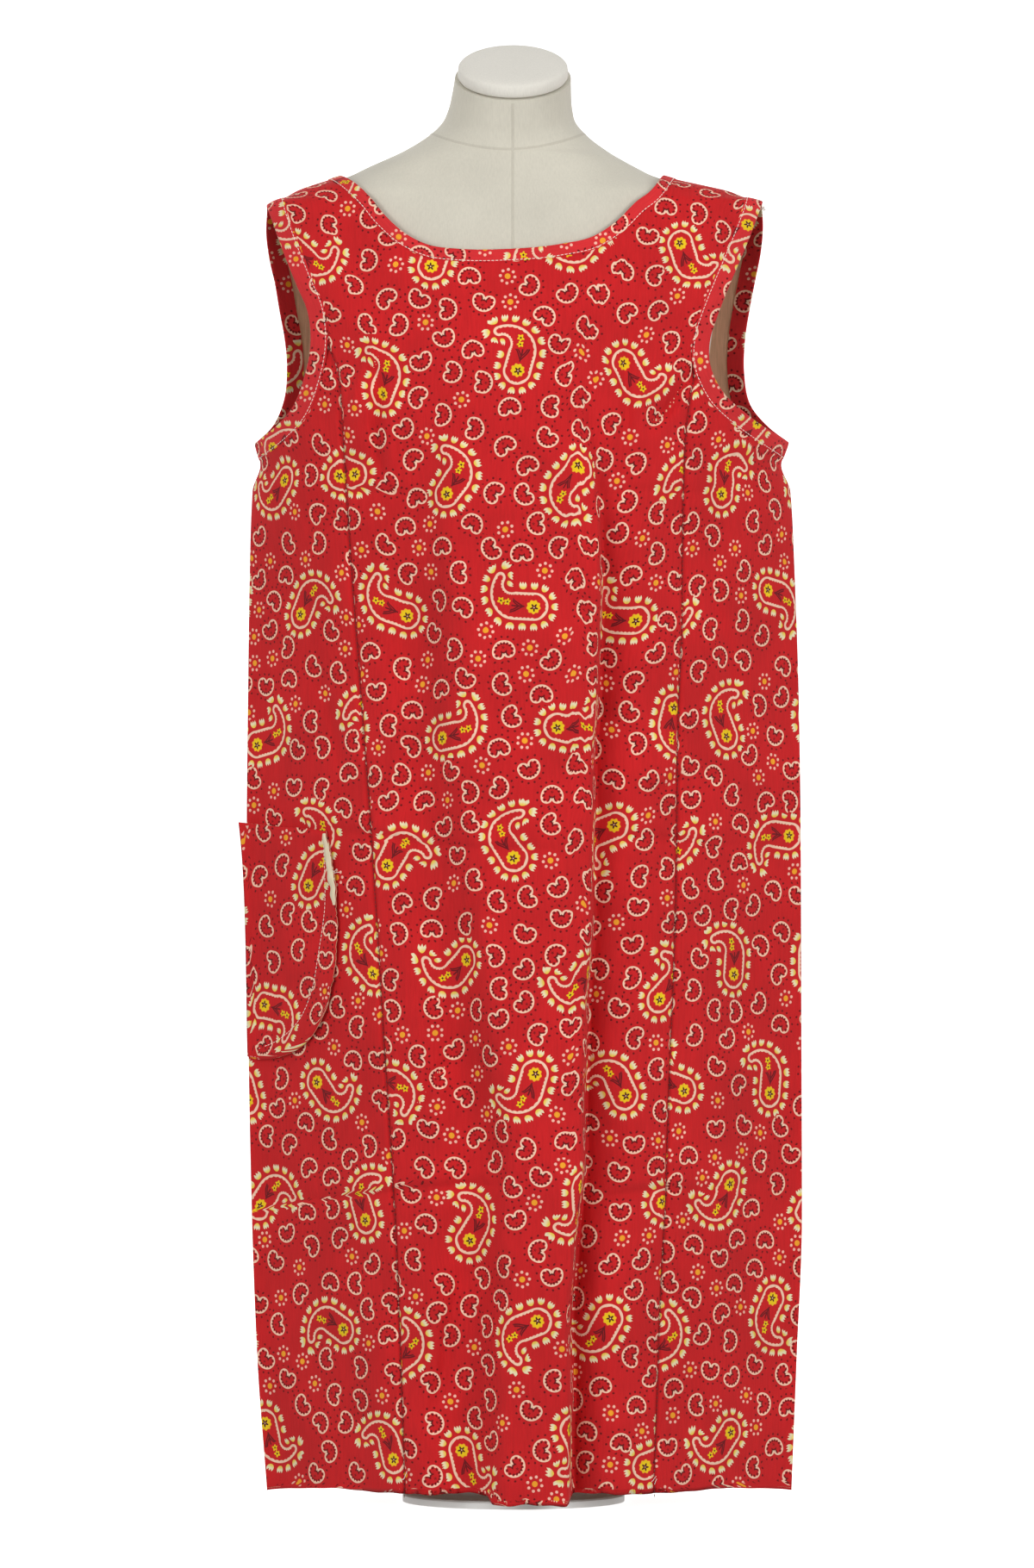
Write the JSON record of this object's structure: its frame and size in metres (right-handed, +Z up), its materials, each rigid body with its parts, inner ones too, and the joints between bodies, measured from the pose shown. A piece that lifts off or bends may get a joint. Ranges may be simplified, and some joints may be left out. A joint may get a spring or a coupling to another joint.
{
  "type": "shift dress on a dress form",
  "caption": "Sleeveless knee-length shift dress of thin printed non-woven cloth with a patch pocket, on a limbless dress form with a short stand.",
  "frame": {"origin": "centre of the base plate's underside", "axes": "+Z up along the form, -Y out of the dress's front, +X to the right of someone facing the front"},
  "size_m": [0.4316, 0.2322, 1.1165],
  "materials": {
    "printed_cloth": "thin non-woven cloth with fine crepe ribs, printed red",
    "form_cover": "close-fitting off-white jersey, matte",
    "painted_steel": "off-white satin paint"
  },
  "bodies": {
    "root": {"front_centre": "printed_cloth", "front_side_left": "printed_cloth", "front_side_right": "printed_cloth", "back": "printed_cloth", "neck_band": "printed_cloth", "armhole_band_left": "printed_cloth", "armhole_band_right": "printed_cloth", "pocket": "printed_cloth", "form_torso": "form_cover", "neck_cap": "form_cover", "form_pole": "painted_steel", "form_base": "painted_steel"}
  },
  "joints": []
}
